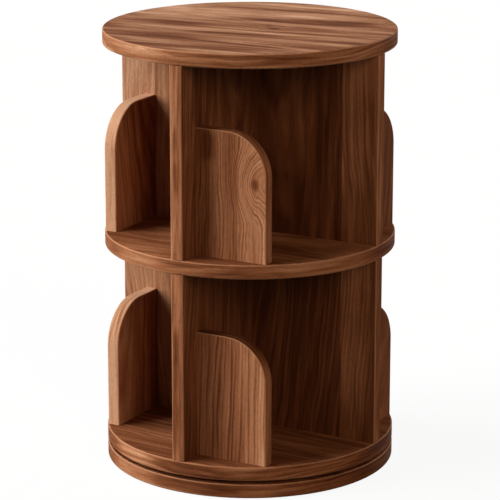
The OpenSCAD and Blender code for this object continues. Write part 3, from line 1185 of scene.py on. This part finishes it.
def stand_for(
    node: str,
    body: Body,
    pieces: Sequence[bpy.types.Object],
    name: str,
) -> None:
    """Joins pieces into one that shows in place of a CAD node.

    Args:
        node: Name of the CAD node.
        body: Body that it moves with.
        pieces: The pieces.
        name: Name of the joined piece.
    """
    take_up(*pieces)
    bpy.ops.object.join()
    joined = bpy.context.object
    joined.name = name
    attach(joined, body.value)
    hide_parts(node)
    log.info("built %s for %s, %d faces", name, node, len(joined.data.polygons))


@dataclass(frozen=True)
class Stock:
    """Walnut of one piece.

    Attributes:
        face: Grain of its faces.
        band_tone: Tone of the band on its edge.
        band_painted_light_and_streaks: Single streaks on that band, and patches of painted light
            and shade.
        stave_tone: Tone of the outer staves of a panel.
        painted_sheen: Whether its faces carry a painted sheen.
    """

    face: Grain
    band_tone: float
    band_painted_light_and_streaks: tuple[Streak, ...] = ()
    stave_tone: float = 0.0
    painted_sheen: bool = False


@dataclass
class Joinery:
    """Walnut pieces that have a band of edge grain where the faces end.

    Attributes:
        edge: Radius of the eased edges.
        finish: Colours and sheen of the wood.
        pieces: Walnut of each CAD node.
    """

    edge: float = 0.002
    finish: Walnut = Walnut()
    pieces: dict[str, Stock] = field(default_factory=dict)

    def dress(self) -> None:
        """Gives each piece its own walnut."""
        for node, stock in self.pieces.items():
            material = bpy.data.materials.new(f"walnut_{node}")
            self.paint(Surface(material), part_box(node), stock)
            dress(node, material)

    def paint(self, graph: Surface, box: Box, stock: Stock) -> None:
        """Feeds the shader of one piece.

        Args:
            graph: The material's tree.
            box: The lowest and highest corner of the piece.
            stock: Its walnut.
        """
        raise NotImplementedError

    def cover(
        self,
        graph: Surface,
        stock: Stock,
        face: Figure,
        band_place: Place,
        from_face: Value,
    ) -> None:
        """Feeds the shader with the faces and the band, which meet at an eased edge.

        Args:
            graph: The material's tree.
            stock: Walnut of the piece.
            face: Figure on its faces.
            band_place: Place along, across and below the band.
            from_face: Depth below the faces.
        """
        from_band = band_place[2]
        band = stock.face.band(stock.band_tone, stock.band_painted_light_and_streaks).figure(graph, band_place)
        banded = sharing(from_band, from_face, self.edge)
        # The faces of some boards carry a painted sheen.
        painted_sheen = 1.0 - banded if stock.painted_sheen else None
        # The eased edges carry a painted highlight and their wear.
        wear_and_highlight = eased(from_band, from_face, self.edge)
        self.finish.paint(graph, face.blend(band, banded), wear_and_highlight, painted_sheen)


def level_sides(box: Box) -> tuple[Axis, Axis]:
    """Returns the axes of an upright board's width and thickness."""
    size = box[1] - box[0]
    return (Axis.X, Axis.Y) if size.x > size.y else (Axis.Y, Axis.X)


TOP_STREAKS = (
    Streak(0.045, -0.122, 0.130, 0.006, 0.62, -0.04),
    Streak(-0.115, -0.126, 0.060, 0.008, 0.36, 0.15),
    Streak(0.010, -0.111, 0.070, 0.008, -0.28, 0.05),
    Streak(0.104, -0.016, 0.105, 0.008, 0.46, 0.126),
    Streak(-0.155, -0.030, 0.140, 0.024, 0.44, 0.14),
    Streak(0.040, 0.137, 0.110, 0.006, 0.46, 0.035),
    Streak(0.050, 0.064, 0.160, 0.030, 0.42, 0.16),
    Streak(0.090, -0.166, 0.110, 0.020, 0.10),
    Streak(-0.110, -0.066, 0.090, 0.026, -0.28, 0.10),
    Streak(-0.140, 0.095, 0.110, 0.034, -0.20),
    Streak(0.120, -0.066, 0.100, 0.028, -0.18, 0.08),
    Streak(0.010, 0.168, 0.140, 0.024, -0.26),
    Streak(-0.055, -0.152, 0.090, 0.022, -0.20),
    Streak(0.057, -0.103, 0.100, 0.014, -0.18),
    Streak(0.085, -0.128, 0.140, 0.034, -0.20),
    Streak(-0.065, 0.142, 0.090, 0.022, -0.24),
)
SHELF_STREAKS = (0.25, 0.040)


@dataclass
class RoundBoards(Joinery):
    """The base, the two shelves and the top board, each with a band round its rim.

    Attributes:
        grain_angle: Angle of the grain to the X axis.
        seam_angle: Angle at which the ends of the band meet. The patches of painted light and shade
            on the band are placed by the length round the rim from the point across from there,
            which faces the camera.
    """

    grain_angle: float = math.radians(2.5)
    seam_angle: float = math.radians(119.0)
    # The patches on each band are painted light and shade: a painted highlight at the front left,
    # where the lamp's sheen falls, and painted shade beside it and towards the right.
    pieces: dict[str, Stock] = field(default_factory=lambda: {
        # The top board's faces carry a painted sheen.
        "top_board": Stock(
            Grain(3.1, Heart(0.10, 0.22, 0.08, 0.04), 0.53, streak_size=(0.20, 0.022),
                  streak_depth=1.75, drift=0.4, streaks=TOP_STREAKS,
                  knot=Knot(0.037, 0.000, 0.009, 0.035, 0.012, 0.60)),
            0.62, painted_sheen=True, band_painted_light_and_streaks=Streak.patches(
                (-0.172, 0.055, -0.14), (-0.070, 0.070, 0.12), (0.265, 0.080, 0.24))),
        # The shelves' low face tones are painted shade inside the compartments.
        "middle_shelf": Stock(
            Grain(11.7, Heart(-0.06, 0.12, 0.08, 0.05), 0.42, streak_size=SHELF_STREAKS),
            0.54, Streak.patches(
                (-0.270, 0.050, 0.17), (-0.175, 0.060, -0.20), (-0.050, 0.090, 0.15),
                (0.090, 0.060, -0.16), (0.270, 0.120, 0.38))),
        "bottom_shelf": Stock(
            Grain(23.9, Heart(0.09, 0.15, -0.07, 0.05), 0.40, streak_size=SHELF_STREAKS),
            0.46, Streak.patches(
                (-0.270, 0.050, 0.17), (-0.188, 0.052, -0.22), (-0.085, 0.075, 0.20),
                (0.275, 0.155, 0.40))),
        # The base plate's low face tone is painted shade, for the dark gap under the bottom shelf.
        "base_plate": Stock(
            Grain(37.3, Heart(0.04, 0.18, 0.05, 0.06), 0.22, streak_size=SHELF_STREAKS),
            0.48, Streak.patches(
                (-0.270, 0.050, 0.20), (-0.180, 0.055, -0.22), (-0.070, 0.090, 0.14),
                (0.260, 0.180, 0.40))),
    })

    def paint(self, graph: Surface, box: Box, stock: Stock) -> None:
        """Feeds the shader of one board.

        Args:
            graph: The material's tree.
            box: The lowest and highest corner of the board.
            stock: Its walnut.
        """
        low, high = box
        radius, half = (high.x - low.x) / 2, (high.z - low.z) / 2
        height = graph.along(Axis.Z.value, (low + high) / 2)
        along, across = graph.turned(self.grain_angle)
        face = stock.face.figure(graph, (along, across, height))
        from_rim = radius - (along * along + across * across).root()
        forward, aside = graph.turned(self.seam_angle + math.pi)
        round_rim = aside.math("ARCTAN2", aside, forward) * radius
        self.cover(graph, stock, face, (round_rim, height, from_rim), half - abs(height))


@dataclass
class Uprights(Joinery):
    """The cross of panels in each tier, glued up from inner boards and outer staves.

    Attributes:
        stave: Width of an outer stave.
        stave_shift: How far its grain is shifted along the tree.
        joint: Half widths of the dark line at the glued joint and of its soft border.
        joint_depth: How much darker the line is.
    """

    stave: float = 0.054
    stave_shift: float = 0.9
    joint: tuple[float, float] = (0.0001, 0.0006)
    joint_depth: float = 0.18
    # Painted light and shade: the streak on each through panel darkens its stave where the front
    # divider meets it, the right panels' low tones paint the shade inside the compartments, and the
    # streak on each right panel lightens the top of its outer stave, where the top board's shadow
    # falls.
    pieces: dict[str, Stock] = field(default_factory=lambda: {
        "lower_through_panel": Stock(
            Grain(41.0, Heart(0.05, 0.10, 0.10, 0.05), 0.20,
                  streaks=(Streak(0.90, -0.156, 0.40, 0.022, 0.13),)),
            0.50, stave_tone=0.27, band_painted_light_and_streaks=(
                Streak(0.028, -0.0020, 0.034, 0.006, 0.20),
                Streak(-0.005, -0.0030, 0.034, 0.006, 0.16),
                Streak(0.0, -0.0040, 0.140, 0.006, 0.14))),
        "lower_right_panel": Stock(
            Grain(53.0, Heart(-0.04, 0.08, 0.06, 0.08), 0.16,
                  streaks=(Streak(1.03, 0.172, 0.11, 0.09, -0.19),)),
            0.36, stave_tone=0.25),
        "lower_left_panel": Stock(
            Grain(61.0, Heart(0.03, 0.12, -0.08, 0.06), 0.64), 0.70, stave_tone=0.82),
        "upper_through_panel": Stock(
            Grain(71.0, Heart(-0.06, 0.09, 0.07, 0.07), 0.34,
                  streaks=(Streak(0.90, -0.156, 0.40, 0.022, 0.12),)),
            0.56, stave_tone=0.32, band_painted_light_and_streaks=(
                Streak(0.030, -0.0015, 0.026, 0.0055, 0.19),
                Streak(-0.020, -0.0010, 0.032, 0.006, 0.20),
                Streak(0.0, -0.0015, 0.110, 0.004, 0.10))),
        "upper_right_panel": Stock(
            Grain(83.0, Heart(0.05, 0.11, -0.06, 0.05), 0.22,
                  streaks=(Streak(1.03, 0.172, 0.085, 0.09, -0.17),)),
            0.51, stave_tone=0.37),
        "upper_left_panel": Stock(
            Grain(97.0, Heart(-0.03, 0.10, 0.09, 0.06), 0.76), 0.80, stave_tone=0.98),
    })

    def paint(self, graph: Surface, box: Box, stock: Stock) -> None:
        """Feeds the shader of one panel.

        Args:
            graph: The material's tree.
            box: The lowest and highest corner of the panel.
            stock: Its walnut.
        """
        low, high = box
        wide, thin = (Vector(axis.value) for axis in level_sides(box))
        reach = max(abs(wide.dot(corner)) for corner in box)
        half = thin.dot(high - low) / 2
        up = graph.along(Axis.Z.value, (low + high) / 2)
        across, through = graph.along(wide), graph.along(thin)
        past_joint = abs(across) - (reach - self.stave)
        stave = past_joint.smooth(-self.joint[0], self.joint[0])
        joint = 1.0 - abs(past_joint).smooth(*self.joint)
        face = stock.face.figure(graph, (up + stave * self.stave_shift, across, through))
        tone = face.tone + stave * (stock.stave_tone - stock.face.tone) - joint * self.joint_depth
        band_place = (up, through, reach - abs(across))
        self.cover(graph, stock, replace(face, tone=tone), band_place, half - abs(through))


# Painted shade along the top of a divider's arc.
ARC_TOP_SHADE = Streak.patches((0.100, 0.115, 0.42))


@dataclass
class Dividers(Joinery):
    """The low dividers, whose band runs over the top and round the upper corner.

    Attributes:
        corner: Radius of the upper corner. The painted shade on the band is placed by the way round
            it: height less distance outwards.
    """

    corner: float = 0.060
    # Painted shade: the front dividers' drift and streaks darken them next to the through panel,
    # where its shadow falls, and the right dividers' low tones paint the shade on that side.
    pieces: dict[str, Stock] = field(default_factory=lambda: {
        "lower_front_divider": Stock(
            Grain(113.0, Heart(0.12, 0.05, 0.05, 0.05), 0.66, ring_gap=0.0050, ring_depth=0.34,
                  vein_depth=0.75, drift=3.9, streaks=(Streak(0.0, -0.002, 0.25, 0.036, 0.27),)),
            0.54, ARC_TOP_SHADE),
        "lower_right_divider": Stock(Grain(122.0, Heart(0.02, 0.06, 0.08, 0.10), 0.36), 0.28),
        "lower_back_divider": Stock(Grain(131.0, Heart(-0.03, 0.05, 0.10, 0.12), 0.58), 0.55),
        "lower_left_divider": Stock(
            Grain(140.0, Heart(0.05, 0.07, 0.06, 0.08), 0.62, drift=3.0), 1.05),
        "upper_front_divider": Stock(
            Grain(149.0, Heart(0.11, 0.06, 0.03, 0.05), 0.65, ring_gap=0.0044, ring_depth=0.34,
                  vein_depth=0.75, ripple=0.012, drift=4.2, knot=Knot(0.019, 0.037), streaks=(
                      Streak(0.063, -0.032, 0.026, 0.022, 0.22),
                      Streak(0.0, 0.004, 0.25, 0.030, 0.09))),
            0.64, ARC_TOP_SHADE),
        "upper_right_divider": Stock(Grain(158.0, Heart(-0.02, 0.05, 0.09, 0.08), 0.40), 0.37),
        "upper_back_divider": Stock(Grain(167.0, Heart(0.03, 0.06, -0.08, 0.10), 0.58), 0.55),
        "upper_left_divider": Stock(
            Grain(176.0, Heart(-0.05, 0.06, 0.07, 0.09), 0.62, drift=3.0), 1.12),
    })

    def paint(self, graph: Surface, box: Box, stock: Stock) -> None:
        """Feeds the shader of one divider.

        Args:
            graph: The material's tree.
            box: The lowest and highest corner of the divider.
            stock: Its walnut.
        """
        low, high = box
        size, middle = high - low, (low + high) / 2
        wide, thin = (Vector(axis.value) for axis in level_sides(box))
        outward = wide * math.copysign(1.0, wide.dot(middle))
        up = graph.along(Axis.Z.value, middle)
        across, through = graph.along(outward, middle), graph.along(thin, middle)
        past_side = (across - (wide.dot(size) / 2 - self.corner)).at_least(0.0)
        past_top = (up - (size.z / 2 - self.corner)).at_least(0.0)
        from_rim = self.corner - (past_side * past_side + past_top * past_top).root()
        face = stock.face.figure(graph, (up, across, through))
        band_place = (up - across, through, from_rim)
        self.cover(graph, stock, face, band_place, thin.dot(size) / 2 - abs(through))


@dataclass
class Screws:
    """Countersunk screws with a cross recess, which stand on their heads.

    Attributes:
        node: CAD node that they stand for.
        body: Body that they move with.
        pitch: Rise of one turn of the thread.
        plain: Share of the length that has no thread.
        core: Radius of the core, as a share of the thread's.
        sides: Number of sides.
    """

    node: str
    body: Body
    pitch: float
    plain: float = 0.35
    core: float = 0.70
    sides: int = 24

    EASE = 0.05
    RUN_OUT = 0.4
    RECESS_WIDTH = 0.24
    RECESS_ARM = 0.46
    RECESS_DEPTH = 0.5
    RECESS_TAPER = 0.5

    def build(self, material: bpy.types.Material) -> None:
        """Models one screw and copies it to each place of the CAD node.

        Args:
            material: Material of the screws.
        """
        boxes = solids(self.node)
        low, high = boxes[0]
        head, length = (high.x - low.x) / 2, high.z - low.z
        shank = head / 2
        core, start, tip = shank * self.core, length * self.plain, length - 2 * shank
        ease = head * self.EASE
        screw = Workpiece.turned("screw", [
            (0.0, 0.0), (head - 2 * ease, 0.0), (head - ease, ease), (shank, head - shank),
            (shank, start), (core, start + shank * self.RUN_OUT), (core, tip), (0.0, length),
        ], self.sides)
        screw.cut(self.recess(head))
        screw.add_thread(core, shank, start, tip, self.pitch)
        screw.smooth(METAL_CREASE)
        laid = screw.lay(boxes, {Axis.Z: material})
        stand_for(self.node, self.body, laid, f"threaded_{self.node}")

    def recess(self, head: float) -> Workpiece:
        """Models the tool that cuts the cross recess.

        Args:
            head: Radius of the screw's head.

        Returns:
            The tool, half in the head.
        """
        width, arm, depth = (
            head * share for share in (self.RECESS_WIDTH, self.RECESS_ARM, self.RECESS_DEPTH))
        bpy.ops.object.select_all(action="DESELECT")
        bpy.ops.mesh.primitive_cube_add(size=width)
        tool = Workpiece("recess_tool")
        with tool.opened():
            bpy.ops.mesh.select_all(action="SELECT")
            bpy.ops.transform.resize(value=(1.0, 1.0, 2 * depth / width))
        for axis, sign in product((Axis.X, Axis.Y), (1.0, -1.0)):
            direction = Vector(axis.value) * sign
            side = direction.xy * width / 2
            with tool.opened():
                tool.pick("faces", lambda face: face.normal.dot(direction) > FACING
                          and (face.calc_center_median().xy - side).length < TOUCHING)
                bpy.ops.mesh.extrude_region_move(TRANSFORM_OT_translate={"value": direction * arm})
        with tool.opened():
            tool.pick("faces", lambda face: face.normal.z > FACING)
            bpy.ops.transform.resize(value=(self.RECESS_TAPER, self.RECESS_TAPER, 1.0))
        return tool


@dataclass
class Bolts:
    """Connecting bolts, whose heads the cam locks grip.

    Attributes:
        head: Radius of the head.
        neck: Radius of the neck behind it.
        shank: Radius of the shank and of the thread.
        head_length: Length of the head.
        neck_length: Length of the neck.
        thread_length: Length of the thread.
        pitch: Rise of one turn of the thread.
        core: Radius of the thread's foot.
        ease: Width of the eased edges.
        sides: Number of sides.
    """

    head: float = 0.0034
    neck: float = 0.0020
    shank: float = 0.0030
    head_length: float = 0.0030
    neck_length: float = 0.0035
    thread_length: float = 0.011
    pitch: float = 0.0015
    core: float = 0.0023
    ease: float = 0.0004
    sides: int = 24

    def end(self) -> list[tuple[float, float]]:
        """Returns the outline of an end that a cam lock grips, up from its head."""
        head, neck, shank, ease = self.head, self.neck, self.shank, self.ease
        neck_low, neck_high = self.head_length, self.head_length + self.neck_length
        return [
            (0.0, 0.0), (head - ease, 0.0), (head, ease), (head, neck_low - ease),
            (head - ease, neck_low), (neck, neck_low), (neck, neck_high),
            (shank - ease, neck_high), (shank, neck_high + ease),
        ]

    def build(self, material: bpy.types.Material) -> None:
        """Models both kinds of bolt.

        Args:
            material: Material of the bolts.
        """
        boxes = solids("top_bolts")
        length = boxes[0][1].z - boxes[0][0].z
        start = length - self.thread_length
        single = Workpiece.turned("bolt", [
            *self.end(), (self.shank, start), (self.core, start + self.ease),
            (self.core, length - 2 * self.ease), (self.core - self.ease, length), (0.0, length),
        ], self.sides)
        single.add_thread(self.core, self.shank, start, length, self.pitch)
        self.lay(single, "top_bolts", boxes, material)
        boxes = solids("shelf_bolts")
        length = boxes[0][1].z - boxes[0][0].z
        other = [(radius, length - height) for radius, height in reversed(self.end())]
        double = Workpiece.turned("bolt", [*self.end(), *other], self.sides)
        self.lay(double, "shelf_bolts", boxes, material)

    @staticmethod
    def lay(
        bolt: Workpiece,
        node: str,
        boxes: Sequence[Box],
        material: bpy.types.Material,
    ) -> None:
        """Copies a bolt to each place of a CAD node.

        Args:
            bolt: The model.
            node: Name of the CAD node.
            boxes: Its places.
            material: Material of the bolts.
        """
        bolt.smooth(METAL_CREASE)
        laid = bolt.lay(boxes, {Axis.Z: material})
        stand_for(node, Body.CAROUSEL, laid, f"turned_{node}")


@dataclass
class Dowels:
    """Fluted beech dowels with eased ends.

    Attributes:
        flutes: Number of flutes.
        flute_depth: Depth of a flute, as a share of the radius.
        ease: Radius of the eased edges.
        nodes: CAD nodes that they stand for.
    """

    flutes: int = 20
    flute_depth: float = 0.05
    ease: float = 0.0008
    nodes: tuple[str, ...] = (
        "bottom_dowels", "middle_dowels", "top_dowels", "cross_dowels",
        "lower_divider_dowels", "upper_divider_dowels",
    )

    EASE_STEPS = 2
    CREASE = 25.0

    def build(self) -> None:
        """Models the dowels of each CAD node."""
        materials = {
            axis: Beech(axis).material(f"beech_along_{axis.name.lower()}") for axis in Axis}
        for node in self.nodes:
            boxes = solids(node)
            sizes = sorted(boxes[0][1] - boxes[0][0])
            dowel = self.model(sizes[0] / 2, sizes[2])
            laid = dowel.lay(boxes, materials)
            stand_for(node, Body.CAROUSEL, laid, f"fluted_{node}")

    def model(self, radius: float, length: float) -> Workpiece:
        """Models one dowel.

        Args:
            radius: Its radius.
            length: Its length.

        Returns:
            The dowel, standing on the origin.
        """
        dowel = Workpiece.bar("dowel", radius, length, 2 * self.flutes)
        dowel.ease_ends(self.ease, self.EASE_STEPS)
        step = math.pi / self.flutes
        with dowel.opened():
            dowel.pick("verts", lambda vertex: vertex.co.xy.length > radius - TOUCHING
                       and round(math.atan2(vertex.co.y, vertex.co.x) / step) % 2)
            bpy.ops.transform.resize(value=(1.0 - self.flute_depth, 1.0 - self.flute_depth, 1.0))
        dowel.smooth(self.CREASE)
        return dowel


@dataclass
class Pads:
    """Felt pads under the base.

    Attributes:
        node: CAD node that they stand for.
        ease: Radius of the soft edges.
        rim: Width of the ring of faces next to the edge.
        wobble: How uneven the side is.
        seed: Number that sets its pattern.
        sides: Number of sides.
    """

    node: str = "foot_pads"
    ease: float = 0.0004
    rim: float = 0.0030
    wobble: float = 0.00004
    seed: int = 4
    sides: int = 64

    EASE_STEPS = 3
    CREASE = 40.0

    def build(self) -> None:
        """Models one pad and copies it to each place."""
        boxes = solids(self.node)
        low, high = boxes[0]
        radius, thickness = (high.x - low.x) / 2, high.z - low.z
        pad = Workpiece.bar("pad", radius - self.wobble, thickness, self.sides)
        pad.ease_ends(self.ease, self.EASE_STEPS)
        with pad.opened():
            pad.pick("faces", lambda face: abs(face.normal.z) > FACING)
            bpy.ops.mesh.inset(thickness=self.rim)
        with pad.opened():
            pad.pick("verts", lambda vertex: self.ease < vertex.co.z < thickness - self.ease)
            bpy.ops.transform.vertex_random(offset=self.wobble, seed=self.seed)
        pad.smooth(self.CREASE)
        laid = pad.lay(boxes, {Axis.Z: Felt().material("pad_felt")})
        stand_for(self.node, Body.BASE, laid, "felt_pads")


@dataclass
class Turntable:
    """The ball bearing ring between the base and the bottom shelf."""

    rings: tuple[str, ...] = ("base_ring", "shelf_ring")
    screws: tuple[Screws, ...] = (
        Screws("base_ring_screws", Body.BASE, 0.0014),
        Screws("shelf_ring_screws", Body.CAROUSEL, 0.0014),
    )

    def dress(self) -> None:
        """Gives the rings, the cage and the balls their finishes."""
        turned = Hardware.RING.value.material("turned_aluminium")
        for ring in self.rings:
            dress(ring, turned)
        dress("ball_cage", Nylon().material("cage_nylon"))
        dress("bearing_balls", Hardware.BALL.value.material("ball_steel"))

    def build(self, material: bpy.types.Material) -> None:
        """Models the ring screws in one material."""
        for screws in self.screws:
            screws.build(material)


@dataclass
class Fixings:
    """The screws, bolts and cam locks that hold the boards together."""

    panel_screws: Screws = field(
        default_factory=lambda: Screws("panel_screws", Body.CAROUSEL, 0.0022, plain=0.42))
    bolts: Bolts = field(default_factory=Bolts)
    cam_locks: tuple[str, ...] = ("lower_cam_locks", "upper_cam_locks")

    def dress(self) -> None:
        """Gives the cam locks their finish."""
        zinc = Hardware.CAM.value.material("cast_zinc")
        for node in self.cam_locks:
            dress(node, zinc)

    def build(self, material: bpy.types.Material) -> None:
        """Models the screws and bolts in one material."""
        self.panel_screws.build(material)
        self.bolts.build(material)


@dataclass
class Lamp:
    """A soft, distant lamp that lights the bookcase from one side.

    Attributes:
        name: Name of the lamp.
        turn: Angle round the bookcase from the camera, in degrees, positive to the right.
        rise: Angle above the floor, in degrees.
        spread: Angle that the lamp fills, in degrees.
        level: Brightness of a white surface that faces it.
        colour: Colour of its light.
    """

    name: str
    turn: float
    rise: float
    spread: float
    level: float
    colour: Triple = WHITE

    def light(self, camera_turn: float) -> None:
        """Puts the lamp in the scene.

        Args:
            camera_turn: Angle of the camera round the bookcase, in radians.
        """
        data = bpy.data.lights.new(self.name, "SUN")
        data.angle = math.radians(self.spread)
        data.energy = self.level * math.pi
        data.color = self.colour
        lamp = bpy.data.objects.new(self.name, data)
        tilt, turn = math.radians(90.0 - self.rise), math.radians(self.turn)
        lamp.rotation_euler = (tilt, 0.0, camera_turn + turn)
        bpy.context.scene.collection.objects.link(lamp)


@dataclass
class Studio:
    """A pale floor, soft lamps and the camera."""

    camera_turn: float = math.radians(29.0)
    camera_distance: float = 3.395
    camera_height: float = 1.216
    camera_pitch: float = math.radians(15.218)
    lens: float = 182.87
    floor_size: float = 40.0
    floor_colour: Triple = (0.92, 0.92, 0.92)
    floor_bounce: Triple = (0.15, 0.15, 0.15)
    floor_glow: float = 0.92
    floor_rough: float = 0.9
    world_level: float = 0.05
    lamps: tuple[Lamp, ...] = (
        Lamp("key_lamp", -90.0, 28.0, 58.0, 1.82),
        Lamp("fill_lamp", 25.0, 26.0, 34.0, 0.345, (1.0, 0.74, 0.52)),
        Lamp("back_lamp", 138.0, 14.0, 30.0, 0.34, (1.0, 0.88, 0.76)),
    )

    def build(self) -> None:
        """Makes the floor, the lamps, the world and the camera."""
        self.make_floor()
        self.make_world()
        for lamp in self.lamps:
            lamp.light(self.camera_turn)
        self.make_camera()

    def make_floor(self) -> None:
        """Makes a floor that looks white and keeps the shadow."""
        bpy.ops.object.select_all(action="DESELECT")
        bpy.ops.mesh.primitive_plane_add(size=self.floor_size)
        floor = bpy.context.object
        floor.name = "floor"
        material = bpy.data.materials.new("floor_paper")
        graph = Surface(material)
        seen = graph.seen_rays()
        graph.set("Base Color", graph.mix(seen, self.floor_bounce, self.floor_colour))
        graph.set("Roughness", self.floor_rough)
        graph.set("Specular IOR Level", 0.0)
        glow = graph.node("ShaderNodeEmission", None, {"Color": WHITE, "Strength": 1.0})
        both = graph.node("ShaderNodeMixShader", None, {
            0: seen * self.floor_glow,
            1: graph.shader.outputs["BSDF"],
            2: glow.outputs["Emission"],
        })
        graph.feed(graph.output.inputs["Surface"], both.outputs["Shader"])
        floor.data.materials.append(material)

    def make_world(self) -> None:
        """Makes a world that lights softly and looks white."""
        world = bpy.data.worlds.new("studio")
        graph = Graph(world)
        strength = self.world_level + graph.seen_rays() * (1.0 - self.world_level)
        light = graph.node("ShaderNodeBackground", None, {"Color": WHITE, "Strength": strength})
        graph.node("ShaderNodeOutputWorld", None, {"Surface": light.outputs["Background"]})
        bpy.context.scene.world = world

    def make_camera(self) -> None:
        """Makes the camera."""
        data = bpy.data.cameras.new("camera")
        data.lens = self.lens
        camera = bpy.data.objects.new("camera", data)
        turn = self.camera_turn
        camera.location = (
            self.camera_distance * math.sin(turn),
            -self.camera_distance * math.cos(turn),
            self.camera_height,
        )
        camera.rotation_euler = (math.pi / 2 - self.camera_pitch, 0.0, turn)
        bpy.context.scene.collection.objects.link(camera)
        bpy.context.scene.camera = camera


def main() -> None:
    """Builds and dresses each sub-assembly, then the studio."""
    logging.basicConfig(level=logging.INFO, format="%(message)s")
    bpy.context.scene.view_settings.view_transform = "Standard"
    RoundBoards().dress()
    Uprights().dress()
    Dividers().dress()
    steel = Hardware.SCREW.value.material("plated_steel")
    for assembly in (Turntable(), Fixings()):
        assembly.dress()
        assembly.build(steel)
    Dowels().build()
    Pads().build()
    Studio().build()


if __name__ == "__main__":
    main()
